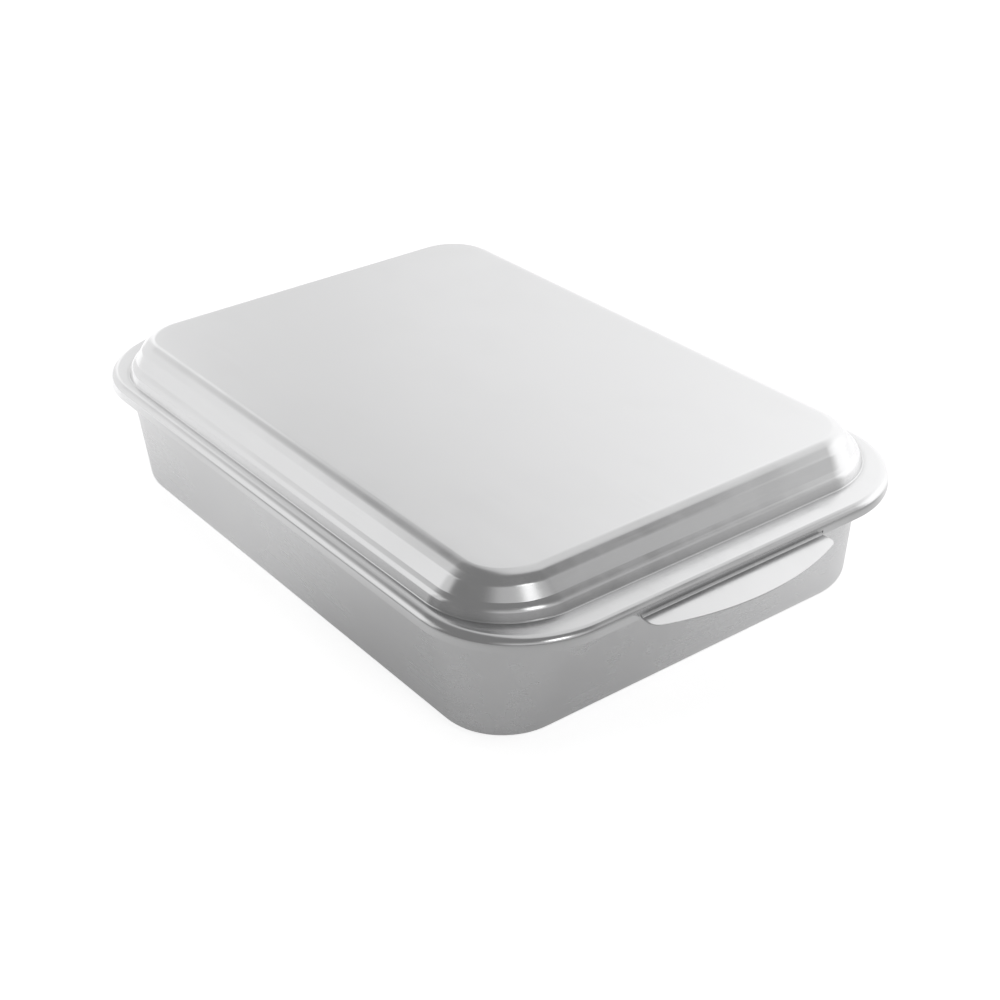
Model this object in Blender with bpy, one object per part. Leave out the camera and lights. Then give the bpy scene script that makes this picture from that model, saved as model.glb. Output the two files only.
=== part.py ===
"""A covered baking pan: a drawn aluminium pan whose rim is rolled over a steel wire,
and a stepped lift-off lid whose turned-down lip covers that rim.

Metres, +Z up. The pan stands on Z = 0, centred on the origin, with its length along X.
The lid lifts straight up along Z. Each sheet-metal piece is drawn as one skin, row by row
from its flat middle out to its free edge, and then given its sheet thickness.
"""

import math
from typing import NamedTuple

import bmesh
import bpy

# Sheet and wire
PAN_SHEET = 0.0010
LID_SHEET = 0.0009
ROLL_RADIUS = 0.0023
WIRE_CLEARANCE = 0.0003

# Pan, measured on the side that holds the food
MOUTH_LENGTH = 0.3270
MOUTH_WIDTH = 0.2305
MOUTH_CORNER = 0.0370
MOUTH_BEND = 0.0030
PAN_HEIGHT = 0.0617
WALL_LEAN = 0.0056
FLOOR_CORNER = 0.0305
FLOOR_BEND = 0.0080

# Flat flange round the mouth, out to the outside of the rolled rim
END_FLANGE = 0.0171
SIDE_FLANGE = 0.00605
RIM_CORNER = 0.0496

# Seat of the lid on the pan
SEAT_GAP = 0.0003
LIP_CLEARANCE = 0.0005

# Lid, measured on its outside, heights above the top of its flange
DOME_END_MARGIN = 0.0035
DOME_SIDE_MARGIN = 0.0005
DOME_CORNER = 0.0413
DOME_HEIGHT = 0.0163
PLATEAU_INSET = 0.0141
PLATEAU_CORNER = 0.0220
PLATEAU_BEND = 0.0048
UPPER_KNEE_INSET = 0.0089
UPPER_KNEE_HEIGHT = 0.0123
UPPER_KNEE_BEND = 0.0040
VALLEY_INSET = 0.0049
VALLEY_HEIGHT = 0.0066
VALLEY_BEND = 0.0008
LOWER_KNEE_INSET = 0.0021
LOWER_KNEE_HEIGHT = 0.0047
LOWER_KNEE_BEND = 0.0025
BASE_BEND = 0.0008

# Raised bead and turned-down lip round the lid
BEAD_END_WIDTH = 0.0028
BEAD_SIDE_WIDTH = 0.0042
BEAD_RISE = 0.0004
BEAD_DROP = 0.0022
BEAD_CROWN_SHARE = 0.35
LIP_DROP = 0.0065

# Lifting tab in the middle of the short end towards +X
TAB_WIDTH = 0.1010
TAB_REACH = 0.0185
TAB_SIDE = 0.0080
TAB_CORNER = 0.0040
TAB_BEND = 0.0014
TAB_NOTCH = 0.0008

# Facets
CORNER_STEPS = 10
BEND_STEPS = 4
STEP_STEPS = 3
ROLL_STEPS = 10
WIRE_STEPS = 8
BEAD_STEPS = 4
TAB_ARC_STEPS = 10
TAB_CORNER_STEPS = 3
ROLL_TURN = math.radians(270)


class Outline(NamedTuple):
    """A rounded rectangle seen from above."""

    half_length: float
    half_width: float
    corner: float

    def grown(self, by):
        return Outline(self.half_length + by, self.half_width + by, self.corner + by)

    def toward(self, other, share):
        return Outline(*(a + (b - a) * share for a, b in zip(self, other)))


class Row(NamedTuple):
    """One closed row of points of a skin: its outline and its height."""

    outline: Outline
    z: float


def pan_outlines():
    """The pan's floor, mouth and rim, on the food side and on the outside of the roll."""
    mouth = Outline(MOUTH_LENGTH / 2, MOUTH_WIDTH / 2, MOUTH_CORNER)
    floor = Outline(
        mouth.half_length - WALL_LEAN, mouth.half_width - WALL_LEAN, FLOOR_CORNER
    )
    rim = Outline(
        mouth.half_length + END_FLANGE, mouth.half_width + SIDE_FLANGE, RIM_CORNER
    )
    return floor, mouth, rim


def lid_outlines():
    """The foot of the dome, the inner edge of the bead and the outside of the lip."""
    _, mouth, rim = pan_outlines()
    base = Outline(
        mouth.half_length + DOME_END_MARGIN,
        mouth.half_width + DOME_SIDE_MARGIN,
        DOME_CORNER,
    )
    lip = rim.grown(LIP_CLEARANCE + LID_SHEET)
    bead = Outline(
        lip.half_length - BEAD_END_WIDTH,
        lip.half_width - BEAD_SIDE_WIDTH,
        lip.corner - BEAD_END_WIDTH,
    )
    return base, bead, lip


def flange_height():
    """Height of the top of the lid's flange when the lid is on."""
    return PAN_HEIGHT + SEAT_GAP + LID_SHEET


def rounded(points, bends, steps):
    """The polyline through points, with each inner point replaced by an arc of its bend radius."""
    path = [points[0]]
    for i in range(1, len(points) - 1):
        path += corner_arc(points[i - 1], points[i], points[i + 1], bends[i - 1], steps)
    path.append(points[-1])
    return path


def corner_arc(before, corner, after, radius, steps):
    """Points of the arc that rounds one corner of a polyline in a plane."""
    ax, ay = before[0] - corner[0], before[1] - corner[1]
    bx, by = after[0] - corner[0], after[1] - corner[1]
    a_length, b_length = math.hypot(ax, ay), math.hypot(bx, by)
    ax, ay, bx, by = ax / a_length, ay / a_length, bx / b_length, by / b_length
    inner = math.acos(max(-1.0, min(1.0, ax * bx + ay * by)))
    middle = math.hypot(ax + bx, ay + by)
    reach = radius / math.sin(inner / 2)
    cx = corner[0] + (ax + bx) / middle * reach
    cy = corner[1] + (ay + by) / middle * reach
    start = math.atan2(corner[1] - cy, corner[0] - cx)
    turn = (math.pi - inner) * (1 if ax * by - ay * bx < 0 else -1)
    return [
        (
            cx + radius * math.cos(start + turn * (k / steps - 0.5)),
            cy + radius * math.sin(start + turn * (k / steps - 0.5)),
        )
        for k in range(steps + 1)
    ]


def pan_rows():
    """Rows of the pan's food side, from the floor up the wall, over the flange and round the roll."""
    floor, mouth, rim = pan_outlines()
    wall_height = PAN_HEIGHT - PAN_SHEET
    profile = rounded(
        [
            (-2 * FLOOR_BEND, 0.0),
            (0.0, 0.0),
            (WALL_LEAN, wall_height),
            (WALL_LEAN + 2 * MOUTH_BEND, wall_height),
        ],
        [FLOOR_BEND, MOUTH_BEND],
        BEND_STEPS,
    )[1:-1]
    rows = []
    for out, height in profile:
        share = min(1.0, max(0.0, height / wall_height))
        corner = floor.corner + (mouth.corner - floor.corner) * share + out
        corner -= WALL_LEAN * share
        rows.append(
            Row(
                Outline(floor.half_length + out, floor.half_width + out, corner),
                PAN_SHEET + height,
            )
        )
    return rows + roll_rows(rim)


def roll_rows(rim):
    """Rows of the outside of the rolled rim, from its top outwards, down and in again."""
    centre = rim.grown(-ROLL_RADIUS)
    centre_z = PAN_HEIGHT - ROLL_RADIUS
    rows = []
    for k in range(ROLL_STEPS + 1):
        angle = math.pi / 2 - ROLL_TURN * k / ROLL_STEPS
        out = ROLL_RADIUS * math.cos(angle)
        rows.append(Row(centre.grown(out), centre_z + ROLL_RADIUS * math.sin(angle)))
    return rows


def dome_rows(base):
    """Rows of the dome's two shoulders, from the plateau down to the foot on the flange."""
    corners = [
        (PLATEAU_INSET + 2 * PLATEAU_BEND, DOME_HEIGHT),
        (PLATEAU_INSET, DOME_HEIGHT),
        (UPPER_KNEE_INSET, UPPER_KNEE_HEIGHT),
        (VALLEY_INSET, VALLEY_HEIGHT),
        (LOWER_KNEE_INSET, LOWER_KNEE_HEIGHT),
        (0.0, 0.0),
        (-2 * BASE_BEND, 0.0),
    ]
    bends = [PLATEAU_BEND, UPPER_KNEE_BEND, VALLEY_BEND, LOWER_KNEE_BEND, BASE_BEND]
    rows = []
    for inset, height in rounded(corners, bends, STEP_STEPS)[1:-1]:
        share = inset / PLATEAU_INSET
        corner = base.corner + (PLATEAU_CORNER - base.corner) * share
        outline = Outline(base.half_length - inset, base.half_width - inset, corner)
        rows.append(Row(outline, height))
    return rows


def bead_rows(bead, lip):
    """Rows of the raised bead, from its inner edge over its crown to the top of the lip."""
    rows = [Row(bead, 0.0)]
    for k in range(BEAD_STEPS + 1):
        angle = math.pi / 2 * (1 - k / BEAD_STEPS)
        share = BEAD_CROWN_SHARE + (1 - BEAD_CROWN_SHARE) * math.cos(angle)
        height = (BEAD_DROP + BEAD_RISE) * math.sin(angle) - BEAD_DROP
        rows.append(Row(bead.toward(lip, share), height))
    return rows


def tab_edge():
    """(place along the end, reach) of the tab's outline, from one side to the other."""
    half = TAB_WIDTH / 2
    rise = TAB_REACH - TAB_SIDE
    radius = (half * half + rise * rise) / (2 * rise)
    centre = TAB_REACH - radius
    inner = radius - TAB_CORNER
    corner_y = half - TAB_CORNER
    corner_reach = centre + math.sqrt(inner * inner - corner_y * corner_y)
    lean = math.asin(corner_y / inner)
    right = []
    for k in range(TAB_CORNER_STEPS + 1):
        angle = (math.pi / 2 - lean) * k / TAB_CORNER_STEPS
        right.append(
            (
                corner_y + TAB_CORNER * math.cos(angle),
                corner_reach + TAB_CORNER * math.sin(angle),
            )
        )
    middle = []
    for k in range(1, TAB_ARC_STEPS):
        angle = lean * (1 - 2 * k / TAB_ARC_STEPS)
        middle.append((radius * math.sin(angle), centre + radius * math.cos(angle)))
    left = [(-y, reach) for y, reach in reversed(right)]
    return [(-y, reach) for y, reach in right + middle + left]


def end_places(lip):
    """Where the columns of points stand along the tab's end, as shares of its straight half."""
    straight = lip.half_width - lip.corner
    places = [y for y, _ in tab_edge()]
    notch = TAB_WIDTH / 2 + TAB_NOTCH
    return [y / straight for y in [-notch] + places + [notch]]


def ring(outline, places):
    """Points of one row, anticlockwise seen from above, the columns of the +X end first."""
    straight_x = outline.half_length - outline.corner
    straight_y = outline.half_width - outline.corner
    points = [(outline.half_length, straight_y * share) for share in places]
    for end in (1, -1):
        for side in (1, -1):
            start = 0 if side == 1 else math.pi / 2
            for k in range(CORNER_STEPS + 1):
                angle = start + math.pi / 2 * k / CORNER_STEPS
                x = side * straight_x + outline.corner * math.cos(angle)
                y = straight_y + outline.corner * math.sin(angle)
                points.append((end * x, end * y))
    return points


def skin(rows, places=()):
    """A bmesh of the rows joined in order, with the first one filled. Faces look up and out."""
    mesh = bmesh.new()
    loops = [
        [mesh.verts.new((x, y, row.z)) for x, y in ring(row.outline, places)]
        for row in rows
    ]
    mesh.faces.new(loops[0])
    for inner, outer in zip(loops, loops[1:]):
        bridge(mesh, inner, outer)
    return mesh, loops


def bridge(mesh, inner, outer, columns=None):
    """Faces between two rows of points, all the way round or only between the given columns."""
    count = len(inner)
    for i in range(count) if columns is None else columns:
        j = (i + 1) % count
        mesh.faces.new((inner[i], outer[i], outer[j], inner[j]))


def sheet_object(name, mesh, thickness, material, z=0.0):
    """An object of this skin with its thickness behind it, shaded smooth across its bends."""
    data = bpy.data.meshes.new(name)
    mesh.to_mesh(data)
    mesh.free()
    obj = bpy.data.objects.new(name, data)
    bpy.context.scene.collection.objects.link(obj)
    obj.location.z = z
    data.materials.append(material)
    data.shade_smooth()
    data.set_sharp_from_angle(angle=math.radians(40))
    if thickness:
        solidify = obj.modifiers.new("sheet", "SOLIDIFY")
        solidify.thickness = thickness
        solidify.offset = -1
        solidify.use_even_offset = True
    return obj


def metal(name, colour, roughness):
    material = bpy.data.materials.new(name)
    material.use_nodes = True
    shader = material.node_tree.nodes["Principled BSDF"]
    shader.inputs["Base Color"].default_value = (*colour, 1.0)
    shader.inputs["Metallic"].default_value = 1.0
    shader.inputs["Roughness"].default_value = roughness
    return material


def make_pan_shell(material):
    mesh, _ = skin(pan_rows())
    return sheet_object("pan_shell", mesh, PAN_SHEET, material)


def make_rim_wire(material):
    """The steel wire inside the roll, a closed loop of round section."""
    _, _, rim = pan_outlines()
    centre = rim.grown(-ROLL_RADIUS)
    radius = ROLL_RADIUS - PAN_SHEET - WIRE_CLEARANCE
    mesh = bmesh.new()
    loops = []
    for k in range(WIRE_STEPS):
        angle = -2 * math.pi * k / WIRE_STEPS
        outline = centre.grown(radius * math.cos(angle))
        z = radius * math.sin(angle)
        loops.append([mesh.verts.new((x, y, z)) for x, y in ring(outline, ())])
    for k in range(WIRE_STEPS):
        bridge(mesh, loops[k], loops[(k + 1) % WIRE_STEPS])
    return sheet_object("rim_wire", mesh, 0, material, PAN_HEIGHT - ROLL_RADIUS)


def make_lid_shell(material):
    """The dome, flange, bead and lip in one skin, and the tab turned out at one short end."""
    base, bead, lip = lid_outlines()
    places = end_places(lip)
    tab_z = LID_SHEET - LIP_DROP
    bend_z = tab_z + TAB_BEND
    rows = dome_rows(base) + bead_rows(bead, lip) + [Row(lip, bend_z)]
    mesh, loops = skin(rows, places)
    edge = [mesh.verts.new((x, y, -LIP_DROP)) for x, y in ring(lip, places)]
    last = len(places) - 1
    bridge(mesh, loops[-1], edge, range(last, len(edge)))
    turn_out_tab(mesh, loops[-1][1:last], bend_z)
    drop_loose(mesh, edge[1:last])
    return sheet_object("lid_shell", mesh, LID_SHEET, material, flange_height())


def turn_out_tab(mesh, columns, bend_z):
    """Bends the skin outwards below these points of the lip, and runs it on to the tab's outline."""
    previous = columns
    for k in range(1, STEP_STEPS + 1):
        angle = math.pi / 2 * k / STEP_STEPS
        out = TAB_BEND * (1 - math.cos(angle))
        drop = TAB_BEND * math.sin(angle)
        row = [
            mesh.verts.new((v.co.x + out, v.co.y, bend_z - drop)) for v in columns
        ]
        bridge(mesh, previous, row, range(len(row) - 1))
        previous = row
    reaches = [reach for _, reach in tab_edge()]
    row = [
        mesh.verts.new((v.co.x + reach, v.co.y, bend_z - TAB_BEND))
        for v, reach in zip(columns, reaches)
    ]
    bridge(mesh, previous, row, range(len(row) - 1))


def drop_loose(mesh, verts):
    for vert in verts:
        mesh.verts.remove(vert)


def clear_scene():
    for obj in list(bpy.data.objects):
        bpy.data.objects.remove(obj, do_unlink=True)


def main():
    clear_scene()
    pan_metal = metal("satin_aluminium_pan", (0.78, 0.78, 0.79), 0.34)
    lid_metal = metal("satin_aluminium_lid", (0.84, 0.84, 0.85), 0.30)
    wire_metal = metal("galvanised_steel", (0.55, 0.56, 0.58), 0.45)
    make_pan_shell(pan_metal)
    make_rim_wire(wire_metal)
    make_lid_shell(lid_metal)


main()
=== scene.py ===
"""A covered baking pan of drawn aluminium: a pan with a wired rolled rim, and a stepped lid.

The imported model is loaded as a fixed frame, and each of its pieces is replaced by a finer mesh of
the same sheet metal. A sheet-metal piece is laid out ring by ring, from its flat middle to its free
edge, bridged, folded with the bevel tool, cut and bent at its tab, and then given its thickness.
Metres, +Z up. The pan stands on Z = 0 with its length along X, and the lid lifts along Z.
"""

import logging
import math
from dataclasses import dataclass, field, replace
from enum import Enum

import bmesh
import bpy
from mathutils import Matrix, Vector


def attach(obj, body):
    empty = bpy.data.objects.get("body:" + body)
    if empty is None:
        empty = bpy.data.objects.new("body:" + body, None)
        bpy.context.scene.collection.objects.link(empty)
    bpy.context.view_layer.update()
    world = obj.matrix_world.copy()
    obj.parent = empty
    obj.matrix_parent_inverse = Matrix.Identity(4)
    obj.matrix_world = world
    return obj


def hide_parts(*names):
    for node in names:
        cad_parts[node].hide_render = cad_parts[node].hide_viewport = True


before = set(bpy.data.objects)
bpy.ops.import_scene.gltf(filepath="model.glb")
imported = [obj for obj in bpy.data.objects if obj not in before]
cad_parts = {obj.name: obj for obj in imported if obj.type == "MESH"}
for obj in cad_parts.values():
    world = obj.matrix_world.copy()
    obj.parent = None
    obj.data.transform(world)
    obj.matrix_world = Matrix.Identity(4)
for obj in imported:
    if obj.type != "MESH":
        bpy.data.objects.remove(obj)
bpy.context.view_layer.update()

log = logging.getLogger("covered_pan")
Socket = bpy.types.NodeSocket

# Points nearer to each other than this count as one.
TOUCH = 2e-6

# Flats in each rounded corner of an outline.
CORNER_CUTS = 24

# How much too high a new ring is laid, so that no older edge is picked with it.
RING_LIFT = 0.02

# Width of the strip round a flat middle that keeps its shading flat.
CALM_MARGIN = 0.004


class Grain(Enum):
    """Ways that the fine lines of a rolled sheet run, in cells per metre along X, Y and Z."""

    LENGTHWISE = (24.0, 1900.0, 1900.0)
    CROSSWISE = (1900.0, 24.0, 1900.0)


@dataclass(frozen=True)
class Outline:
    """A rounded rectangle seen from above, centred on the origin.

    Args:
        half_length: Half of its size along X.
        half_width: Half of its size along Y.
        corner: Radius of its four corners.
    """

    half_length: float
    half_width: float
    corner: float

    def grown(self, by: float) -> "Outline":
        """The parallel outline this much further out."""
        return Outline(self.half_length + by, self.half_width + by, self.corner + by)

    def toward(self, other: "Outline", share: float) -> "Outline":
        """The outline at a share of the way to another one.

        Args:
            other: The outline at share 1.
            share: 0 for this outline and 1 for the other.

        Returns:
            The outline in between.
        """
        return Outline(
            self.half_length + (other.half_length - self.half_length) * share,
            self.half_width + (other.half_width - self.half_width) * share,
            self.corner + (other.corner - self.corner) * share,
        )

    def passes(self, point: Vector) -> bool:
        """Whether a point seen from above lies on this outline.

        Args:
            point: The point, whose height doesn't matter.

        Returns:
            True if it is on the line.
        """
        side_x = abs(point.x) - (self.half_length - self.corner)
        side_y = abs(point.y) - (self.half_width - self.corner)
        reach = math.hypot(max(side_x, 0.0), max(side_y, 0.0))
        return abs(reach + min(max(side_x, side_y), 0.0) - self.corner) < TOUCH


@dataclass(frozen=True)
class Fold:
    """One corner of a sheet's profile: a ring of points, and how sharply the sheet turns there.

    Args:
        outline: The ring seen from above.
        height: Its height.
        bend: Radius of the bend, or 0 where the ring is only passed through.
        cuts: How many flats the bend is made of.
    """

    outline: Outline
    height: float
    bend: float = 0.0
    cuts: int = 6


class SheetBench:
    """A sheet-metal skin being modelled in edit mode, whose faces look out of the piece."""

    def __init__(self, name: str, first: Fold) -> None:
        """Starts the skin with its flat middle.

        Args:
            name: Name of the new object.
            first: The edge of the flat middle.
        """
        self.name = name
        self.folds = [first]
        bpy.ops.object.select_all(action="DESELECT")
        bpy.ops.mesh.primitive_plane_add(size=1.0, location=(0.0, 0.0, 0.0))
        self.piece = bpy.context.active_object
        self.piece.name = name
        self.piece.data.name = name
        bpy.ops.object.mode_set(mode="EDIT")
        bpy.ops.mesh.select_mode(type="EDGE")
        bpy.ops.mesh.select_all(action="SELECT")
        bpy.ops.transform.translate(value=(0.0, 0.0, first.height))
        self.round_off(first)

    def round_off(self, fold: Fold) -> None:
        """Gives the selected square its size and its rounded corners.

        Args:
            fold: The ring that the square becomes.
        """
        outline = fold.outline
        bpy.ops.transform.resize(
            value=(2 * outline.half_length, 2 * outline.half_width, 1.0),
            center_override=(0.0, 0.0, fold.height),
        )
        bpy.ops.mesh.bevel(
            offset=outline.corner, segments=CORNER_CUTS, profile=0.5, affect="VERTICES"
        )

    def extend(self, fold: Fold) -> None:
        """Lays the next ring a little too high, joins it to the last one and lowers it.

        Args:
            fold: The next ring of the profile.
        """
        raised = replace(fold, height=fold.height + RING_LIFT)
        bpy.ops.mesh.select_all(action="DESELECT")
        bpy.ops.mesh.primitive_plane_add(size=1.0, location=(0.0, 0.0, raised.height))
        self.round_off(raised)
        bpy.ops.mesh.delete(type="ONLY_FACE")
        self.pick_rings(self.folds[-1], raised)
        bpy.ops.mesh.bridge_edge_loops()
        self.pick_rings(raised)
        bpy.ops.transform.translate(value=(0.0, 0.0, -RING_LIFT))
        self.folds.append(fold)

    def mesh(self) -> bmesh.types.BMesh:
        """The mesh in edit mode."""
        return bmesh.from_edit_mesh(self.piece.data)

    def pick_rings(self, *folds: Fold) -> None:
        """Selects the edges that lie along these rings, and nothing else.

        Args:
            folds: The rings to select.
        """
        bpy.ops.mesh.select_all(action="DESELECT")
        mesh = self.mesh()
        for edge in mesh.edges:
            for fold in folds:
                level = all(abs(v.co.z - fold.height) < TOUCH for v in edge.verts)
                if level and all(fold.outline.passes(v.co) for v in edge.verts):
                    edge.select_set(True)
        bmesh.update_edit_mesh(self.piece.data)

    def pick_faces(self, low: Vector, high: Vector) -> None:
        """Selects the faces that lie wholly inside a box, and nothing else.

        Args:
            low: Lowest corner of the box.
            high: Highest corner of the box.
        """
        bpy.ops.mesh.select_all(action="DESELECT")
        mesh = self.mesh()
        for face in mesh.faces:
            inside = all(
                low[i] - TOUCH < v.co[i] < high[i] + TOUCH
                for v in face.verts
                for i in range(3)
            )
            if inside:
                face.select_set(True)
        bmesh.update_edit_mesh(self.piece.data)

    def clear_loose(self) -> None:
        """Deletes the edges and points that carry no face."""
        bpy.ops.mesh.select_all(action="SELECT")
        bpy.ops.mesh.delete_loose(use_verts=True, use_edges=True, use_faces=False)

    def pick_edge(self, first: Vector, second: Vector) -> None:
        """Selects the one edge that runs between two points.

        Args:
            first: One end.
            second: The other end.
        """
        bpy.ops.mesh.select_all(action="DESELECT")
        mesh = self.mesh()
        for edge in mesh.edges:
            a, b = edge.verts[0].co, edge.verts[1].co
            gap = min(
                max((a - first).length, (b - second).length),
                max((a - second).length, (b - first).length),
            )
            if gap < TOUCH:
                edge.select_set(True)
        bmesh.update_edit_mesh(self.piece.data)

    def bend_folds(self) -> None:
        """Rounds each ring that has a bend, with flats that touch the arc of its radius."""
        for fold in self.folds:
            if fold.bend <= 0:
                continue
            self.pick_rings(fold)
            mesh = self.mesh()
            picked = [edge for edge in mesh.edges if edge.select]
            longest = max(picked, key=lambda edge: edge.calc_length())
            turn = longest.calc_face_angle(0.0)
            bpy.ops.mesh.bevel(
                offset=fold.bend * math.tan(turn / 2),
                segments=fold.cuts,
                profile=0.5,
                affect="EDGES",
                clamp_overlap=False,
            )

    def calm_middle(self) -> None:
        """Insets the flat middle, so that its shading stays flat up to the bend round it."""
        height = self.folds[0].height
        self.pick_faces(Vector((-1.0, -1.0, height)), Vector((1.0, 1.0, height)))
        bpy.ops.mesh.inset(thickness=CALM_MARGIN, use_even_offset=True)

    def look_out(self) -> None:
        """Makes all faces look the same way, which is up in the flat middle."""
        middle = Vector((0.0, 0.0, self.folds[0].height))
        bpy.ops.mesh.select_all(action="SELECT")
        bpy.ops.mesh.normals_make_consistent(inside=False)
        mesh = self.mesh()
        nearest = min(mesh.faces, key=lambda f: (f.calc_center_median() - middle).length)
        if nearest.normal.z < 0:
            bpy.ops.mesh.flip_normals()

    def finish(self, thickness: float, edge_round: float) -> bpy.types.Object:
        """Leaves edit mode, thickens the skin inwards and eases its free edges.

        Args:
            thickness: Thickness of the sheet.
            edge_round: How far the trimmed edges are eased.

        Returns:
            The finished piece.
        """
        bpy.ops.mesh.select_all(action="SELECT")
        bpy.ops.mesh.remove_doubles(threshold=TOUCH)
        bpy.ops.object.mode_set(mode="OBJECT")
        # The second material slot marks the faces that the thickness adds at the free edges.
        for _ in range(2):
            self.piece.data.materials.append(None)
        sheet = self.piece.modifiers.new("sheet", "SOLIDIFY")
        sheet.thickness = thickness
        sheet.offset = -1.0
        sheet.use_even_offset = True
        sheet.material_offset_rim = 1
        bpy.ops.object.modifier_apply(modifier=sheet.name)
        bpy.ops.object.mode_set(mode="EDIT")
        bpy.ops.mesh.select_mode(type="FACE")
        bpy.ops.mesh.select_all(action="DESELECT")
        self.piece.active_material_index = 1
        bpy.ops.object.material_slot_select()
        bpy.ops.mesh.region_to_loop()
        bpy.ops.mesh.bevel(offset=edge_round, segments=2, profile=0.5, affect="EDGES")
        bpy.ops.object.mode_set(mode="OBJECT")
        self.piece.data.materials.clear()
        smooth_by_area(self.piece)
        return self.piece


def smooth_by_area(piece: bpy.types.Object) -> None:
    """Shades a piece smooth, with the wide flats setting the shading at their own edges.

    Args:
        piece: The piece to shade.
    """
    bpy.ops.object.select_all(action="DESELECT")
    piece.select_set(True)
    bpy.context.view_layer.objects.active = piece
    bpy.ops.object.shade_smooth_by_angle(angle=math.radians(50))
    weighted = piece.modifiers.new("weighted", "WEIGHTED_NORMAL")
    weighted.mode = "FACE_AREA"
    weighted.weight = 90
    weighted.keep_sharp = True
    bpy.ops.object.modifier_apply(modifier=weighted.name)


class NodeBoard:
    """The node tree of one material or of the world."""

    def __init__(self, owner: bpy.types.Material | bpy.types.World, output: str) -> None:
        """Clears the owner's tree down to its output node.

        Args:
            owner: The material or world.
            output: The output node's type name without "ShaderNode".
        """
        self.owner = owner
        owner.use_nodes = True
        self.tree = owner.node_tree
        self.tree.nodes.clear()
        self.output = self.add(output)

    def add(self, kind: str, **values: object) -> bpy.types.Node:
        """Adds a node.

        Args:
            kind: The node's type name without "ShaderNode".
            values: Attributes of the node, such as its operation.

        Returns:
            The new node.
        """
        node = self.tree.nodes.new("ShaderNode" + kind)
        for name, value in values.items():
            setattr(node, name, value)
        return node

    def join(self, source: Socket, target: Socket) -> None:
        """Links one socket to another."""
        self.tree.links.new(source, target)

    def math(self, operation: str, first: object, second: object = 0.0) -> Socket:
        """Adds a Math node on numbers or sockets.

        Args:
            operation: The operation's name.
            first: The first input.
            second: The second input.

        Returns:
            The result's socket.
        """
        node = self.add("Math", operation=operation)
        for socket, value in zip(node.inputs, (first, second)):
            if isinstance(value, Socket):
                self.join(value, socket)
            else:
                socket.default_value = value
        return node.outputs[0]

    def toward(self, place: Socket, way: Vector) -> Socket:
        """Measures how far a point or direction reaches along a fixed direction.

        Args:
            place: The point or direction.
            way: The fixed direction.

        Returns:
            The length's socket.
        """
        node = self.add("VectorMath", operation="DOT_PRODUCT")
        self.join(place, node.inputs[0])
        node.inputs[1].default_value = way
        return node.outputs["Value"]

    def spread(
        self, value: Socket, low: float, high: float, to_low: float, to_high: float
    ) -> Socket:
        """Maps a range of a value smoothly onto another range.

        Args:
            value: The value to map.
            low: Start of its range.
            high: End of its range.
            to_low: Result at the start.
            to_high: Result at the end.

        Returns:
            The result's socket.
        """
        node = self.add("MapRange", interpolation_type="SMOOTHSTEP")
        self.join(value, node.inputs["Value"])
        node.inputs["From Min"].default_value = low
        node.inputs["From Max"].default_value = high
        node.inputs["To Min"].default_value = to_low
        node.inputs["To Max"].default_value = to_high
        return node.outputs["Result"]

    def stretched(
        self,
        coordinates: Socket,
        scale: tuple[float, float, float],
        turn: float = 0.0,
    ) -> Socket:
        """Scales a pattern's coordinates by axis, after a turn about Z.

        Args:
            coordinates: The coordinates to change.
            scale: Factors along X, Y and Z, in pattern units per metre.
            turn: Turn about Z, in degrees.

        Returns:
            The changed coordinates.
        """
        node = self.add("Mapping")
        self.join(coordinates, node.inputs["Vector"])
        node.inputs["Rotation"].default_value = (0.0, 0.0, math.radians(turn))
        node.inputs["Scale"].default_value = scale
        return node.outputs["Vector"]

    def noise(self, coordinates: Socket, detail: float, roughness: float = 0.5) -> Socket:
        """Adds a noise pattern of one cell per unit of its coordinates.

        Args:
            coordinates: Where the pattern is read.
            detail: How many finer layers it has.
            roughness: How strong the finer layers are.

        Returns:
            The pattern's value, around 0.5.
        """
        node = self.add("TexNoise")
        self.join(coordinates, node.inputs["Vector"])
        node.inputs["Scale"].default_value = 1.0
        node.inputs["Detail"].default_value = detail
        node.inputs["Roughness"].default_value = roughness
        return node.outputs["Fac"]


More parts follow.
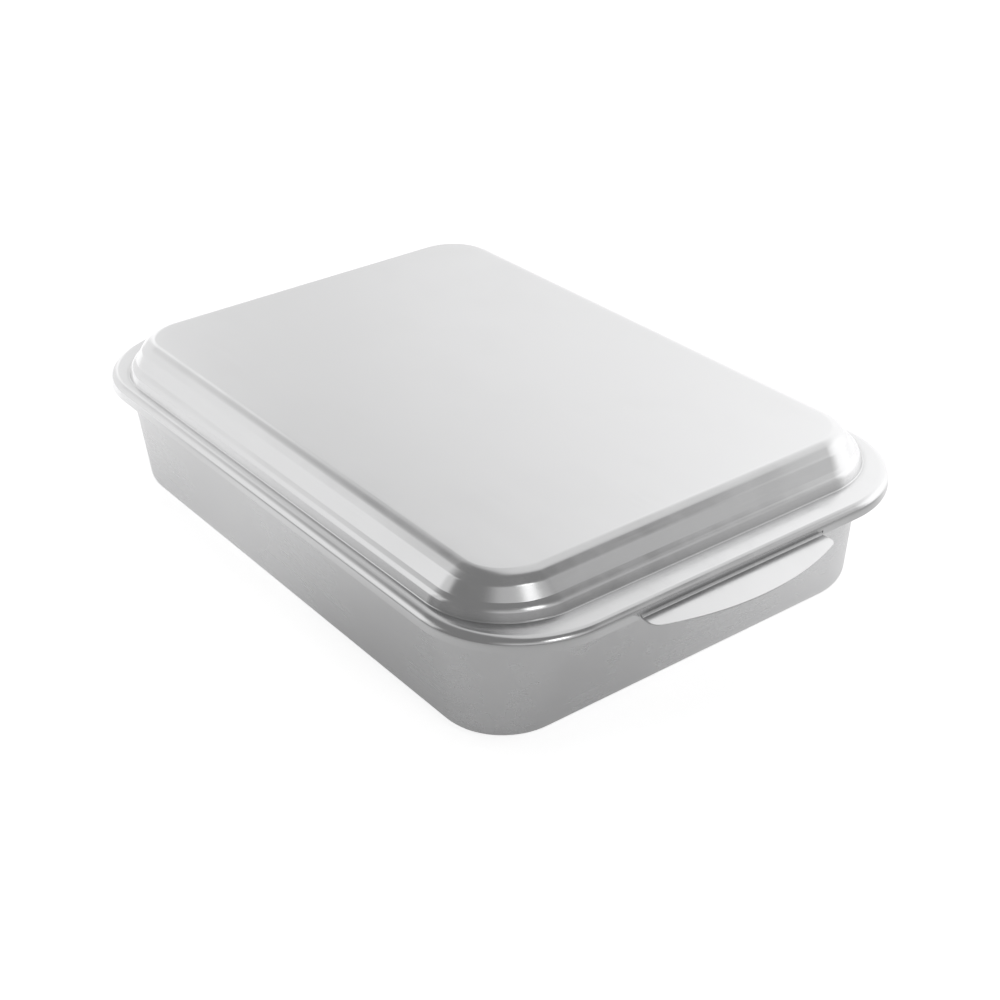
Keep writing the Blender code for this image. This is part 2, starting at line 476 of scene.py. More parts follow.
@dataclass(frozen=True)
class SatinAluminium:
    """Drawn aluminium sheet with a fine rolled grain, faint smudges, hairline scratches and painted
    shade in its creases.

    Args:
        name: Name of the material.
        tint: Its colour.
        roughness: Its mean roughness.
        grain_depth: Height of the grain in metres.
        grain_roughness: How much the grain changes the roughness.
        grain_shade: How much the grain changes the brightness.
        wave_depth: Height of the sheet's slow unevenness in metres.
        wave_cells: Scale of the unevenness, in cells per metre along X, Y and Z.
        smudge: How much handling changes the roughness.
        smudge_cells: Scale of the smudges.
        smudge_shades: Brightness of the metal in the dullest and the cleanest smudges.
        scratch_cut: Values of the scratch pattern at which a scratch starts and is full.
        scratch_depth: Depth of the scratches in metres.
        scratch_polish: How much smoother the metal is in a scratch.
        scratch_shade: How much darker the metal is in a scratch.
        scratch_area_cells: Scale of the areas that have scratches.
        crease_reach: How far from a crease the occlusion behind its painted shade looks.
        crease_open: How open to the sky the metal is where the painted shade is darkest and where
            it ends.
        crease_tone: How bright the metal is under the darkest painted shade, with 1 as unshaded.
    """

    name: str
    tint: tuple[float, float, float]
    roughness: float
    grain_depth: float = 1.2e-6
    grain_roughness: float = 0.03
    grain_shade: float = 0.015
    wave_depth: float = 6e-5
    wave_cells: tuple[float, float, float] = (9.0, 12.0, 14.0)
    smudge: float = 0.06
    smudge_cells: tuple[float, float, float] = (22.0, 30.0, 30.0)
    smudge_shades: tuple[float, float] = (0.97, 1.02)
    scratch_cut: tuple[float, float] = (0.79, 0.83)
    scratch_depth: float = 1e-6
    scratch_polish: float = 0.04
    scratch_shade: float = 0.02
    scratch_area_cells: tuple[float, float, float] = (19.0, 19.0, 19.0)
    crease_reach: float = 0.009
    crease_open: tuple[float, float] = (0.45, 0.84)
    crease_tone: float = 0.25

    def material(self) -> bpy.types.Material:
        """Builds the material's nodes.

        Returns:
            The material.
        """
        board = NodeBoard(bpy.data.materials.new(self.name), "OutputMaterial")
        place = board.add("TexCoord")
        shader = board.add("BsdfPrincipled")
        shader.inputs["Metallic"].default_value = 1.0
        lines = self.grain_lines(board, place)
        smudged = board.stretched(place.outputs["Object"], self.smudge_cells)
        smudges = board.noise(smudged, 4.0, 0.6)
        scratches = self.hairlines(board, place)
        self.colour(board, shader, lines, smudges, scratches)
        rough = board.spread(smudges, 0.3, 0.7, -self.smudge, self.smudge)
        rough = board.math("ADD", rough, self.roughness)
        drawn = board.spread(lines, 0.2, 0.8, -self.grain_roughness, self.grain_roughness)
        rough = board.math("ADD", rough, drawn)
        polish = board.math("MULTIPLY", scratches, self.scratch_polish)
        rough = board.math("SUBTRACT", rough, polish)
        board.join(rough, shader.inputs["Roughness"])
        self.relief(board, place, shader, lines, scratches)
        board.join(shader.outputs["BSDF"], board.output.inputs["Surface"])
        return board.owner

    def grain_lines(self, board: NodeBoard, place: bpy.types.Node) -> Socket:
        """Fine lines along the sheet, which follow the sides and fade at the corners.

        Args:
            board: The node tree.
            place: Its texture coordinates.

        Returns:
            The lines' value, around 0.5.
        """
        facing = board.add("SeparateXYZ")
        board.join(place.outputs["Normal"], facing.inputs[0])
        end_on = board.math(
            "SUBTRACT",
            board.math("ABSOLUTE", facing.outputs["X"]),
            board.math("ABSOLUTE", facing.outputs["Y"]),
        )
        mix = board.add("Mix", data_type="VECTOR")
        board.join(board.math("GREATER_THAN", end_on, 0.05), mix.inputs["Factor"])
        for way, socket in ((Grain.LENGTHWISE, "A"), (Grain.CROSSWISE, "B")):
            board.join(board.stretched(place.outputs["Object"], way.value), mix.inputs[socket])
        vector = mix.outputs["Result"]
        fine = board.noise(vector, 3.0, 0.65)
        coarse = board.noise(board.stretched(vector, (0.2, 0.2, 0.2)), 2.0)
        straight = board.spread(board.math("ABSOLUTE", end_on), 0.15, 0.5, 0.0, 0.5)
        level = board.spread(board.math("ABSOLUTE", facing.outputs["Z"]), 0.8, 0.95, 0.0, 0.5)
        clear = board.math("MAXIMUM", straight, level)
        lines = board.math("SUBTRACT", board.math("ADD", fine, coarse), 1.0)
        return board.math("ADD", board.math("MULTIPLY", lines, clear), 0.5)

    def hairlines(self, board: NodeBoard, place: bpy.types.Node) -> Socket:
        """Sparse thin scratches, each kind only on the sides where it runs along the sheet.

        Args:
            board: The node tree.
            place: Its texture coordinates.

        Returns:
            1 in a scratch and 0 beside it.
        """
        kept = board.stretched(place.outputs["Object"], self.scratch_area_cells)
        kept = board.noise(kept, 2.0)
        facing = board.add("SeparateXYZ")
        board.join(place.outputs["Normal"], facing.inputs[0])
        lines = 0.0
        for axis, cells, turn in (("X", (30, 1300, 600), 27), ("Y", (1100, 26, 600), 14)):
            pattern = board.noise(board.stretched(place.outputs["Object"], cells, turn), 1.0)
            aside = board.math("ABSOLUTE", facing.outputs[axis])
            line = board.spread(pattern, *self.scratch_cut, 0.0, 1.0)
            line = board.math("MULTIPLY", line, board.spread(aside, 0.3, 0.6, 1.0, 0.0))
            lines = board.math("MAXIMUM", lines, line)
        return board.math("MULTIPLY", lines, board.spread(kept, 0.45, 0.62, 0.0, 1.0))

    def colour(
        self,
        board: NodeBoard,
        shader: bpy.types.Node,
        lines: Socket,
        smudges: Socket,
        scratches: Socket,
    ) -> None:
        """Varies the tint with the grain, smudges and scratches, and paints shade into the creases.

        Args:
            board: The node tree.
            shader: The shader whose colour is set.
            lines: The grain's value.
            smudges: The smudges' value.
            scratches: The scratches' value.
        """
        level = board.spread(lines, 0.2, 0.8, 1.0 - self.grain_shade, 1.0 + self.grain_shade)
        handled = board.spread(smudges, 0.25, 0.75, *self.smudge_shades)
        level = board.math("MULTIPLY", level, handled)
        shade = board.math("MULTIPLY", scratches, self.scratch_shade)
        level = board.math("SUBTRACT", level, shade)
        # Painted shade: ambient occlusion darkens the colour in creases, such as the tab's root,
        # where shade falls.
        crease = board.add("AmbientOcclusion", samples=8, only_local=True)
        crease.inputs["Distance"].default_value = self.crease_reach
        painted_crease_shade = board.spread(crease.outputs["AO"], *self.crease_open, self.crease_tone, 1.0)
        level = board.math("MULTIPLY", level, painted_crease_shade)
        tinted = board.add("Mix", data_type="RGBA", blend_type="MULTIPLY")
        tinted.inputs["Factor"].default_value = 1.0
        tinted.inputs["A"].default_value = (*self.tint, 1.0)
        grey = board.add("CombineColor")
        for socket in grey.inputs[:3]:
            board.join(level, socket)
        board.join(grey.outputs["Color"], tinted.inputs["B"])
        board.join(tinted.outputs["Result"], shader.inputs["Base Color"])

    def relief(
        self,
        board: NodeBoard,
        place: bpy.types.Node,
        shader: bpy.types.Node,
        lines: Socket,
        scratches: Socket,
    ) -> None:
        """Raises the grain, sinks the scratches and bends the sheet slowly.

        Args:
            board: The node tree.
            place: Its texture coordinates.
            shader: The shader whose normal is set.
            lines: The grain's value.
            scratches: The scratches' value.
        """
        slow = board.noise(board.stretched(place.outputs["Object"], self.wave_cells), 1.0)
        height = board.math("MULTIPLY", slow, self.wave_depth)
        height = board.math("ADD", height, board.math("MULTIPLY", lines, self.grain_depth))
        sunk = board.math("MULTIPLY", scratches, self.scratch_depth)
        height = board.math("SUBTRACT", height, sunk)
        bump = board.add("Bump")
        bump.inputs["Strength"].default_value = 1.0
        bump.inputs["Distance"].default_value = 1.0
        board.join(height, bump.inputs["Height"])
        board.join(bump.outputs["Normal"], shader.inputs["Normal"])


@dataclass(frozen=True)
class GalvanisedSteel:
    """Dull zinc-coated wire with a fine crystal pattern.

    Args:
        name: Name of the material.
        tint: Its colour.
        roughness: Its mean roughness.
        roughness_range: How much rougher or smoother a crystal can be.
        darkest: Brightness of the darkest crystals, as a share of the tint.
        brightest: Brightness of the brightest crystals.
        crystal_cells: Crystals per metre.
        drawn_cells: Scale of the drawing marks, in cells per metre along X, Y and Z.
        drawn_depth: Height of the drawing marks in metres.
    """

    name: str
    tint: tuple[float, float, float]
    roughness: float
    roughness_range: float = 0.08
    darkest: float = 0.8
    brightest: float = 1.15
    crystal_cells: float = 700.0
    drawn_cells: tuple[float, float, float] = (60.0, 60.0, 2600.0)
    drawn_depth: float = 2e-5

    def material(self) -> bpy.types.Material:
        """Builds the material's nodes.

        Returns:
            The material.
        """
        board = NodeBoard(bpy.data.materials.new(self.name), "OutputMaterial")
        place = board.add("TexCoord")
        shader = board.add("BsdfPrincipled")
        shader.inputs["Metallic"].default_value = 1.0
        crystals = board.add("TexVoronoi")
        crystals.inputs["Scale"].default_value = self.crystal_cells
        board.join(place.outputs["Object"], crystals.inputs["Vector"])
        value = board.add("SeparateColor")
        board.join(crystals.outputs["Color"], value.inputs[0])
        flake = value.outputs[0]
        drawn = board.noise(board.stretched(place.outputs["Object"], self.drawn_cells), 2.0)
        tinted = board.add("Mix", data_type="RGBA")
        for socket, share in (("A", self.darkest), ("B", self.brightest)):
            tinted.inputs[socket].default_value = (*(c * share for c in self.tint), 1.0)
        board.join(flake, tinted.inputs["Factor"])
        board.join(tinted.outputs["Result"], shader.inputs["Base Color"])
        rough = board.spread(flake, 0.0, 1.0, -self.roughness_range, self.roughness_range)
        board.join(board.math("ADD", rough, self.roughness), shader.inputs["Roughness"])
        bump = board.add("Bump")
        bump.inputs["Distance"].default_value = self.drawn_depth
        bump.inputs["Strength"].default_value = 0.6
        board.join(drawn, bump.inputs["Height"])
        board.join(bump.outputs["Normal"], shader.inputs["Normal"])
        board.join(shader.outputs["BSDF"], board.output.inputs["Surface"])
        return board.owner


@dataclass
class PanShell:
    """The drawn pan: its floor, leaning walls, flat flange and rolled rim, from one sheet."""

    sheet: float = 0.0010
    roll_radius: float = 0.0023
    mouth: Outline = field(default_factory=lambda: Outline(0.1635, 0.11525, 0.0370))
    mouth_bend: float = 0.0030
    height: float = 0.0617
    wall_lean: float = 0.0056
    floor_corner: float = 0.0305
    floor_bend: float = 0.0080
    end_flange: float = 0.0171
    side_flange: float = 0.00605
    rim_corner: float = 0.0496
    roll_turn: float = 270.0
    roll_cuts: int = 18
    bend_cuts: int = 8
    edge_round: float = 0.0002
    finish: SatinAluminium = SatinAluminium(
        "satin_pan_aluminium", (0.74, 0.74, 0.745), 0.26, smudge=0.03
    )

    def rim(self) -> Outline:
        """The outside of the rolled rim.

        Returns:
            The outline.
        """
        return Outline(
            self.mouth.half_length + self.end_flange,
            self.mouth.half_width + self.side_flange,
            self.rim_corner,
        )

    def folds(self) -> list[Fold]:
        """The profile of the side that holds the food, from the floor to the end of the roll.

        Returns:
            The rings in order.
        """
        floor = Outline(
            self.mouth.half_length - self.wall_lean,
            self.mouth.half_width - self.wall_lean,
            self.floor_corner,
        )
        centre = self.rim().grown(-self.roll_radius)
        middle = self.height - self.roll_radius
        folds = [
            Fold(floor, self.sheet, self.floor_bend, self.bend_cuts),
            Fold(self.mouth, self.height, self.mouth_bend, self.bend_cuts),
        ]
        for step in range(self.roll_cuts + 1):
            angle = math.radians(90 - self.roll_turn * step / self.roll_cuts)
            outline = centre.grown(self.roll_radius * math.cos(angle))
            folds.append(Fold(outline, middle + self.roll_radius * math.sin(angle)))
        return folds

    def build(self) -> bpy.types.Object:
        """Models the pan.

        Returns:
            The finished piece.
        """
        folds = self.folds()
        bench = SheetBench("pan_shell_drawn", folds[0])
        for fold in folds[1:]:
            bench.extend(fold)
        bench.bend_folds()
        bench.calm_middle()
        bench.look_out()
        return bench.finish(self.sheet, self.edge_round)

    def dress(self, piece: bpy.types.Object) -> None:
        """Gives the pan its finish and its place in the frame.

        Args:
            piece: The finished pan.
        """
        piece.data.materials.append(self.finish.material())
        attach(piece, "pan")
        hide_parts("pan_shell")


@dataclass
class RimWire:
    """The steel wire that the pan's rim is rolled over."""

    pan: PanShell
    clearance: float = 0.0003
    section_cuts: int = 4
    finish: GalvanisedSteel = GalvanisedSteel("galvanised_wire", (0.55, 0.56, 0.58), 0.42)

    def build(self) -> bpy.types.Object:
        """Models the wire as a closed loop of round section.

        Returns:
            The finished piece.
        """
        roll = self.pan.roll_radius
        centre = self.pan.rim().grown(-roll)
        bench = SheetBench("rim_wire_round", Fold(centre, self.pan.height - roll))
        bpy.ops.mesh.select_all(action="SELECT")
        bpy.ops.mesh.delete(type="ONLY_FACE")
        bpy.ops.object.mode_set(mode="OBJECT")
        bpy.ops.object.convert(target="CURVE")
        loop = bpy.context.active_object
        loop.data.bevel_depth = roll - self.pan.sheet - self.clearance
        loop.data.bevel_resolution = self.section_cuts
        bpy.ops.object.convert(target="MESH")
        piece = bpy.context.active_object
        piece.name = bench.name
        bpy.ops.object.mode_set(mode="EDIT")
        bpy.ops.mesh.select_all(action="SELECT")
        bpy.ops.mesh.remove_doubles(threshold=TOUCH)
        bpy.ops.mesh.normals_make_consistent(inside=False)
        bpy.ops.object.mode_set(mode="OBJECT")
        bpy.ops.object.shade_smooth_by_angle(angle=math.radians(60))
        return piece

    def dress(self, piece: bpy.types.Object) -> None:
        """Gives the wire its finish and its place in the frame.

        Args:
            piece: The finished wire.
        """
        piece.data.materials.clear()
        piece.data.materials.append(self.finish.material())
        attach(piece, "pan")
        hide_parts("rim_wire")


@dataclass
class LidShell:
    """The lid: a dome of two shoulders, a flange with a rounded edge, a turned-down lip and a tab.

    A knee or valley of the dome is its inset from the dome's foot and its height above the flange.
    """

    pan: PanShell
    sheet: float = 0.0009
    seat_gap: float = 0.0003
    lip_clearance: float = 0.0005
    dome_end_margin: float = 0.0035
    dome_side_margin: float = 0.0005
    dome_corner: float = 0.0413
    dome_height: float = 0.0163
    plateau_inset: float = 0.0141
    plateau_corner: float = 0.0220
    plateau_bend: float = 0.0085
    upper_knee: tuple[float, float] = (0.0089, 0.0123)
    upper_knee_bend: float = 0.0035
    valley: tuple[float, float] = (0.0049, 0.0066)
    valley_bend: float = 0.0008
    lower_knee: tuple[float, float] = (0.0021, 0.0047)
    lower_knee_bend: float = 0.0045
    base_bend: float = 0.0006
    edge_end_width: float = 0.0036
    edge_side_width: float = 0.0042
    edge_drop: float = 0.0034
    lip_drop: float = 0.0065
    tab_width: float = 0.1010
    tab_reach: float = 0.0185
    tab_side: float = 0.0080
    tab_corner: float = 0.0040
    tab_bend: float = 0.0012
    tab_notch: float = 0.0008
    tab_strip: float = 0.0008
    dome_cuts: tuple[int, ...] = (8, 6, 5, 6, 6)
    edge_cuts: int = 14
    tab_bend_cuts: int = 6
    tab_arc_cuts: int = 28
    tab_corner_cuts: int = 5
    edge_round: float = 0.00018
    finish: SatinAluminium = SatinAluminium("satin_lid_aluminium", (0.78, 0.78, 0.785), 0.19)

    def __post_init__(self) -> None:
        """Works out the lip, the dome's foot and the flange's height from the pan."""
        mouth = self.pan.mouth
        self.lip = self.pan.rim().grown(self.lip_clearance + self.sheet)
        self.base = Outline(
            mouth.half_length + self.dome_end_margin,
            mouth.half_width + self.dome_side_margin,
            self.dome_corner,
        )
        self.flange_height = self.pan.height + self.seat_gap + self.sheet

    def dome_folds(self) -> list[Fold]:
        """The profile of the dome, from the edge of its plateau down to its foot.

        Returns:
            The rings in order.
        """
        corners = [
            (self.plateau_inset, self.dome_height, self.plateau_bend),
            (*self.upper_knee, self.upper_knee_bend),
            (*self.valley, self.valley_bend),
            (*self.lower_knee, self.lower_knee_bend),
            (0.0, 0.0, self.base_bend),
        ]
        folds = []
        for (inset, height, bend), cuts in zip(corners, self.dome_cuts):
            share = inset / self.plateau_inset
            corner = self.base.corner + (self.plateau_corner - self.base.corner) * share
            outline = Outline(
                self.base.half_length - inset, self.base.half_width - inset, corner
            )
            folds.append(Fold(outline, self.flange_height + height, bend, cuts))
        return folds

    def edge_folds(self) -> list[Fold]:
        """The profile from the flat flange over its rounded edge and down to the lip's edge.

        Returns:
            The rings in order.
        """
        inner = Outline(
            self.lip.half_length - self.edge_end_width,
            self.lip.half_width - self.edge_side_width,
            self.lip.corner - self.edge_end_width,
        )
        folds = []
        for step in range(self.edge_cuts + 1):
            angle = math.pi / 2 * step / self.edge_cuts
            outline = inner.toward(self.lip, math.sin(angle))
            drop = self.edge_drop * (1 - math.cos(angle))
            folds.append(Fold(outline, self.flange_height - drop))
        folds.append(Fold(self.lip, self.tab_height() + self.tab_bend))
        folds.append(Fold(self.lip, self.flange_height - self.lip_drop))
        return folds

    def tab_height(self) -> float:
        """Height of the tab's upper side."""
        return self.flange_height + self.sheet - self.lip_drop

    def tab_outline(self) -> list[tuple[float, float]]:
        """The tab's free edge from one side to the other.

        Returns:
            Places along the end, each with how far the edge stands out from the lip there.
        """
        half = self.tab_width / 2
        rise = self.tab_reach - self.tab_side
        radius = (half * half + rise * rise) / (2 * rise)
        centre = self.tab_reach - radius
        inner = radius - self.tab_corner
        corner_y = half - self.tab_corner
        corner_reach = centre + math.sqrt(inner * inner - corner_y * corner_y)
        lean = math.asin(corner_y / inner)
        side = []
        for step in range(self.tab_corner_cuts + 1):
            angle = (math.pi / 2 - lean) * step / self.tab_corner_cuts
            y = corner_y + self.tab_corner * math.cos(angle)
            side.append((y, corner_reach + self.tab_corner * math.sin(angle)))
        middle = []
        for step in range(1, self.tab_arc_cuts):
            angle = lean * (1 - 2 * step / self.tab_arc_cuts)
            middle.append((radius * math.sin(angle), centre + radius * math.cos(angle)))
        return side + middle + [(-y, reach) for y, reach in reversed(side)]

    def open_lip(self, bench: SheetBench) -> None:
        """Cuts the lower part of the lip away where the tab turns out of it.

        Args:
            bench: The lid's skin.
        """
        half = self.tab_width / 2
        low_z = self.flange_height - self.lip_drop
        high_z = self.tab_height() + self.tab_bend
        x = self.lip.half_length
        for y in (-half - self.tab_notch, -half, half, half + self.tab_notch):
            bench.pick_faces(Vector((x, -1.0, low_z)), Vector((x, 1.0, high_z)))
            bpy.ops.mesh.bisect(plane_co=(x, y, high_z), plane_no=(0.0, 1.0, 0.0))
        reach = half + self.tab_notch
        bench.pick_faces(Vector((x, -reach, low_z)), Vector((x, reach, high_z)))
        bpy.ops.mesh.delete(type="ONLY_FACE")
        bench.clear_loose()

    def turn_out_tab(self, bench: SheetBench) -> None:
        """Bends the tab out of the lip and trims it to its outline.

        Args:
            bench: The lid's skin.
        """
        half = self.tab_width / 2
        x = self.lip.half_length
        z = self.tab_height()
        bend_z = z + self.tab_bend
        bench.pick_edge(Vector((x, -half, bend_z)), Vector((x, half, bend_z)))
        bpy.ops.mesh.spin(
            steps=self.tab_bend_cuts,
            angle=math.radians(90),
            center=(x + self.tab_bend, 0.0, bend_z),
            axis=(0.0, 1.0, 0.0),
        )
        # A narrow first strip keeps the shading of the tab's flat part flat.
        for run in (self.tab_strip, self.tab_reach - self.tab_bend - self.tab_strip):
            bpy.ops.mesh.extrude_edges_move(TRANSFORM_OT_translate={"value": (run, 0.0, 0.0)})
        points = self.tab_outline()
        for (y0, r0), (y1, r1) in zip(points, points[1:]):
            bench.pick_faces(Vector((x + self.tab_bend, -half, z)), Vector((1.0, half, z)))
            outward = Vector((y0 - y1, r1 - r0, 0.0)).normalized()
            bpy.ops.mesh.bisect(
                plane_co=(x + r0, y0, z), plane_no=outward, clear_outer=True, threshold=TOUCH
            )

    def build(self) -> bpy.types.Object:
        """Models the lid.

        Returns:
            The finished piece.
        """
        folds = self.dome_folds() + self.edge_folds()
        bench = SheetBench("lid_shell_drawn", folds[0])
        for fold in folds[1:]:
            bench.extend(fold)
        self.open_lip(bench)
        self.turn_out_tab(bench)
        bench.bend_folds()
        bench.calm_middle()
        bench.look_out()
        return bench.finish(self.sheet, self.edge_round)

    def dress(self, piece: bpy.types.Object) -> None:
        """Gives the lid its finish and its place in the frame.

        Args:
            piece: The finished lid.
        """
        piece.data.materials.append(self.finish.material())
        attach(piece, "lid")
        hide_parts("lid_shell")


@dataclass(frozen=True)
class Softbox:
    """One studio lamp with a wide soft front, aimed at a point of the object.

    Args:
        name: Name of the lamp.
        azimuth: Its direction seen from above, in degrees, 0 at -Y and 90 at +X.
        elevation: Its height above the horizon, in degrees.
        distance: How far away it stands.
        width: Width of its front.
        height: Height of its front.
        power: Its power in watts.
        mirrored: Whether polished surfaces show its front.
    """

    name: str
    azimuth: float
    elevation: float
    distance: float
    width: float
    height: float
    power: float
    mirrored: bool

    def place(self, aim: Vector) -> None:
        """Adds the lamp to the scene.

        Args:
            aim: The point that it is aimed at.
        """
        away = direction(self.azimuth, self.elevation)
        lamp = bpy.data.lights.new(self.name, "AREA")
        lamp.shape = "RECTANGLE"
        lamp.size = self.width
        lamp.size_y = self.height
        lamp.energy = self.power
        stand = bpy.data.objects.new(self.name, lamp)
        bpy.context.scene.collection.objects.link(stand)
        stand.visible_glossy = self.mirrored
        stand.location = aim + away * self.distance
        stand.rotation_euler = (-away).to_track_quat("-Z", "Y").to_euler()


@dataclass(frozen=True)
class Panel:
    """A soft-edged part of the surroundings that polished metal mirrors.

    Args:
        azimuth: Its middle seen from above, in degrees, 0 at -Y and 90 at +X.
        reach: How far it runs to either side of its middle, in degrees.
        low: Elevation of its lower edge, in degrees.
        high: Elevation of its upper edge.
        level: How bright it is, with 1 as white.
        soft: Width of its soft side edges, in degrees.
        soft_rise: Width of its soft lower and upper edges, in degrees.
    """

    azimuth: float
    reach: float
    low: float
    high: float
    level: float
    soft: float
    soft_rise: float

    def light(self, board: NodeBoard, around: Socket, above: Socket) -> Socket:
        """Adds the nodes of its brightness.

        Args:
            board: The world's node tree.
            around: Azimuth of the direction looked in, in degrees.
            above: Elevation of that direction, in degrees.

        Returns:
            The brightness.
        """
        half = self.soft / 2
        rise = self.soft_rise / 2
        turned = board.add("Math", operation="WRAP")
        board.join(board.math("SUBTRACT", around, self.azimuth), turned.inputs[0])
        turned.inputs[1].default_value = 180.0
        turned.inputs[2].default_value = -180.0
        aside = board.math("ABSOLUTE", turned.outputs[0])
        level = board.spread(aside, self.reach - half, self.reach + half, self.level, 0.0)
        lower = board.spread(above, self.low - rise, self.low + rise, 0.0, 1.0)
        upper = board.spread(above, self.high - rise, self.high + rise, 1.0, 0.0)
        return board.math("MULTIPLY", level, board.math("MULTIPLY", lower, upper))


def direction(azimuth: float, elevation: float) -> Vector:
    """The unit vector towards a place in the studio.

    Args:
        azimuth: Degrees seen from above, 0 at -Y and 90 at +X.
        elevation: Degrees above the horizon.

    Returns:
        The vector.
    """
    a = math.radians(azimuth)
    e = math.radians(elevation)
    return Vector((math.sin(a) * math.cos(e), -math.cos(a) * math.cos(e), math.sin(e)))


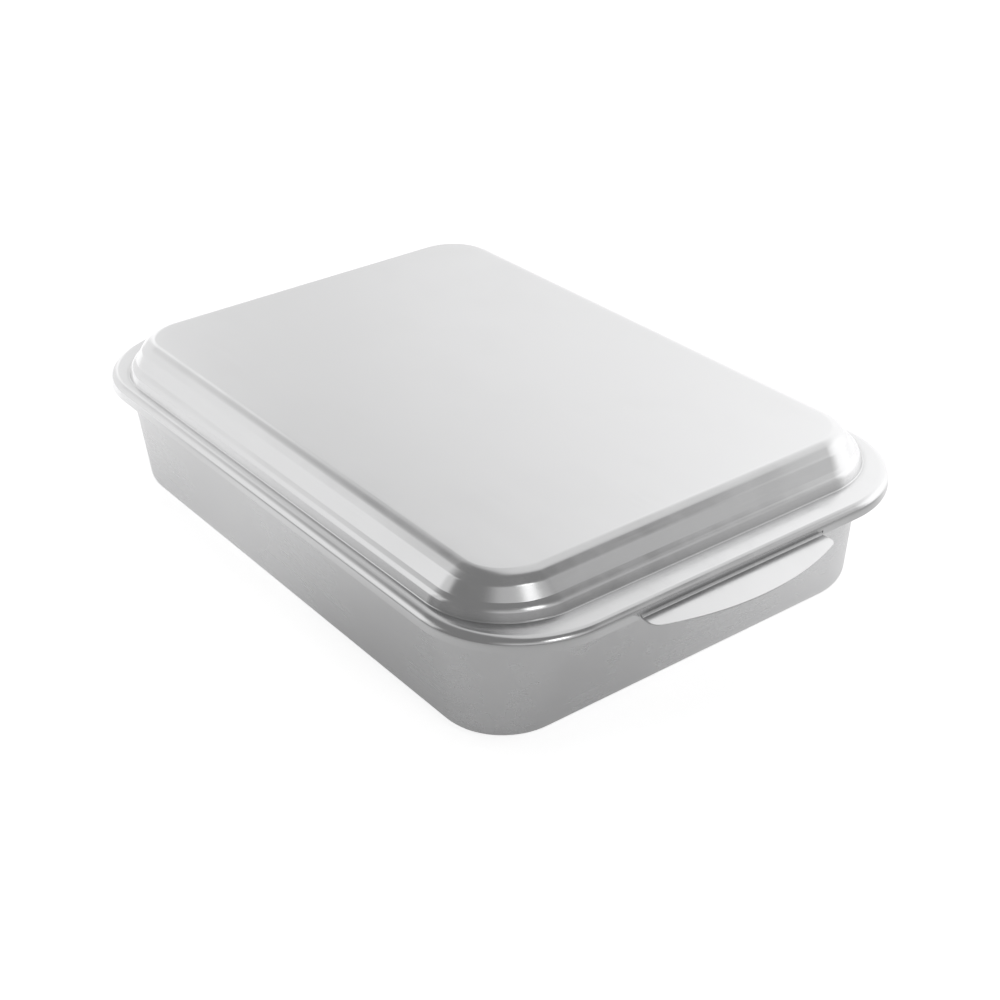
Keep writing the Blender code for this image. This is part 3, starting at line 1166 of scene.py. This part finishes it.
@dataclass
class Studio:
    """The floor, the light and the camera."""

    floor_size: float = 12.0
    paper_tone: float = 0.62
    paper_glow: float = 0.78
    bright_bearing: float = 228.0
    contact_zone: tuple[float, float] = (0.18, 0.36)
    # How bright the floor is in the metal: two reaches towards the bright bearing, two levels.
    near_floor: tuple[float, float, float, float] = (-1.48, -0.14, 0.05, 0.48)
    far_floor: tuple[float, float, float, float] = (-0.12, 0.33, 0.0, 0.82)
    azimuth: float = 54.24
    elevation: float = 29.84
    roll: float = -1.96
    distance: float = 0.86871
    aside: float = 0.01175
    lift: float = -0.02286
    aim: Vector = field(default_factory=lambda: Vector((0.0, 0.0, 0.0382)))
    lens: float = 64.0
    sensor: float = 36.0
    lamps: tuple[Softbox, ...] = (
        Softbox("ceiling_softbox", 0.0, 90.0, 1.6, 1.2, 1.2, 4.0, mirrored=False),
    )
    surround: float = 0.23
    panels: tuple[Panel, ...] = (
        Panel(188.0, 42.0, -40.0, 43.0, 0.97, 23.0, 20.0),
        Panel(168.0, 20.0, -40.0, 40.0, 0.12, 20.0, 20.0),
        Panel(283.0, 32.0, -40.0, 39.0, 0.73, 15.0, 16.0),
        Panel(323.0, 10.0, 6.0, 34.0, 0.48, 9.0, 14.0),
        Panel(205.0, 43.0, 43.0, 85.0, 0.51, 24.0, 23.0),
        Panel(243.0, 13.0, -40.0, 35.0, 0.66, 18.0, 25.0),
        Panel(139.0, 13.0, -40.0, 36.0, 0.32, 8.0, 28.0),
        Panel(88.0, 10.0, 31.0, 46.0, 2.40, 7.0, 10.0),
        Panel(78.0, 43.0, 13.0, 37.0, 0.37, 29.0, 28.0),
    )

    def build(self) -> None:
        """Sets up the whole studio."""
        self.lay_floor()
        self.light_world()
        for lamp in self.lamps:
            lamp.place(self.aim)
        self.set_camera()
        bpy.context.scene.view_settings.view_transform = "Standard"

    def lay_floor(self) -> None:
        """Lays the plain pale floor, which looks white and keeps the object's shadow."""
        bpy.ops.object.select_all(action="DESELECT")
        bpy.ops.mesh.primitive_plane_add(size=self.floor_size, location=(0.0, 0.0, 0.0))
        floor = bpy.context.active_object
        floor.name = "studio_floor"
        board = NodeBoard(bpy.data.materials.new("pale_paper"), "OutputMaterial")
        paper = board.add("BsdfDiffuse")
        paper.inputs["Color"].default_value = (*[self.paper_tone] * 3, 1.0)
        path = board.add("LightPath")
        seen = board.math("MULTIPLY", path.outputs["Is Camera Ray"], self.paper_glow)
        mirrored = board.math(
            "ADD", path.outputs["Is Glossy Ray"], path.outputs["Is Transmission Ray"]
        )
        place = board.add("TexCoord").outputs["Object"]
        mirrored = board.math("MULTIPLY", mirrored, self.floor_level(board, place))
        glow = board.add("Emission")
        board.join(board.math("ADD", seen, mirrored), glow.inputs["Strength"])
        both = board.add("AddShader")
        board.join(paper.outputs["BSDF"], both.inputs[0])
        board.join(glow.outputs["Emission"], both.inputs[1])
        board.join(both.outputs["Shader"], board.output.inputs["Surface"])
        floor.data.materials.append(board.owner)

    def floor_level(self, board: NodeBoard, place: Socket) -> Socket:
        """How bright the floor is in the metal: darkest far off to the front.

        Args:
            board: The floor's node tree.
            place: The place on the floor.

        Returns:
            The brightness.
        """
        unit = board.add("VectorMath", operation="NORMALIZE")
        board.join(place, unit.inputs[0])
        bright_way = direction(self.bright_bearing, 0.0)
        backward = board.toward(unit.outputs["Vector"], bright_way)
        near = board.spread(backward, *self.near_floor)
        far = board.spread(backward, *self.far_floor)
        length = board.add("VectorMath", operation="LENGTH")
        board.join(place, length.inputs[0])
        share = board.spread(length.outputs["Value"], *self.contact_zone, 0.0, 1.0)
        kept = board.math("MULTIPLY", near, board.math("SUBTRACT", 1.0, share))
        return board.math("ADD", kept, board.math("MULTIPLY", far, share))

    def light_world(self) -> None:
        """Lights the surroundings with soft panels, dim above the camera."""
        world = bpy.data.worlds.new("studio_surround")
        bpy.context.scene.world = world
        board = NodeBoard(world, "OutputWorld")
        look = board.add("TexCoord").outputs["Generated"]
        parts = board.add("SeparateXYZ")
        board.join(look, parts.inputs[0])
        degree = math.pi / 180
        frontward = board.math("MULTIPLY", parts.outputs["Y"], -1.0)
        around = board.math("ARCTAN2", parts.outputs["X"], frontward)
        around = board.math("DIVIDE", around, degree)
        above = board.math("DIVIDE", board.math("ARCSINE", parts.outputs["Z"]), degree)
        level = self.surround
        for panel in self.panels:
            level = board.math("ADD", level, panel.light(board, around, above))
        path = board.add("LightPath")
        level = board.math("MAXIMUM", level, path.outputs["Is Camera Ray"])
        background = board.add("Background")
        background.inputs["Color"].default_value = (1.0, 1.0, 1.0, 1.0)
        board.join(level, background.inputs["Strength"])
        board.join(background.outputs[0], board.output.inputs["Surface"])

    def set_camera(self) -> None:
        """Places the camera where the photograph was taken from."""
        back = direction(self.azimuth, self.elevation)
        right = (-back).cross(Vector((0.0, 0.0, 1.0))).normalized()
        up = right.cross(-back)
        turn = math.radians(self.roll)
        across = right * math.cos(turn) + up * math.sin(turn)
        upward = up * math.cos(turn) - right * math.sin(turn)
        lens = bpy.data.cameras.new("photo_camera")
        lens.sensor_width = self.sensor
        lens.lens = self.lens
        camera = bpy.data.objects.new("photo_camera", lens)
        bpy.context.scene.collection.objects.link(camera)
        place = self.aim + back * self.distance + across * self.aside + upward * self.lift
        camera.matrix_world = Matrix(
            (
                (across.x, upward.x, back.x, place.x),
                (across.y, upward.y, back.y, place.y),
                (across.z, upward.z, back.z, place.z),
                (0.0, 0.0, 0.0, 1.0),
            )
        )
        bpy.context.scene.camera = camera


def report(piece: bpy.types.Object) -> None:
    """Logs a finished piece's faces and size.

    Args:
        piece: The piece.
    """
    size = piece.dimensions * 1000
    log.info(
        "%s: %d faces, %.1f x %.1f x %.1f mm",
        piece.name,
        len(piece.data.polygons),
        size.x,
        size.y,
        size.z,
    )


def main() -> None:
    """Builds the pan, its wire, the lid and the studio."""
    logging.basicConfig(level=logging.INFO, format="%(message)s")
    pan = PanShell()
    for part in (pan, RimWire(pan), LidShell(pan)):
        piece = part.build()
        part.dress(piece)
        report(piece)
    Studio().build()


if __name__ == "__main__":
    main()
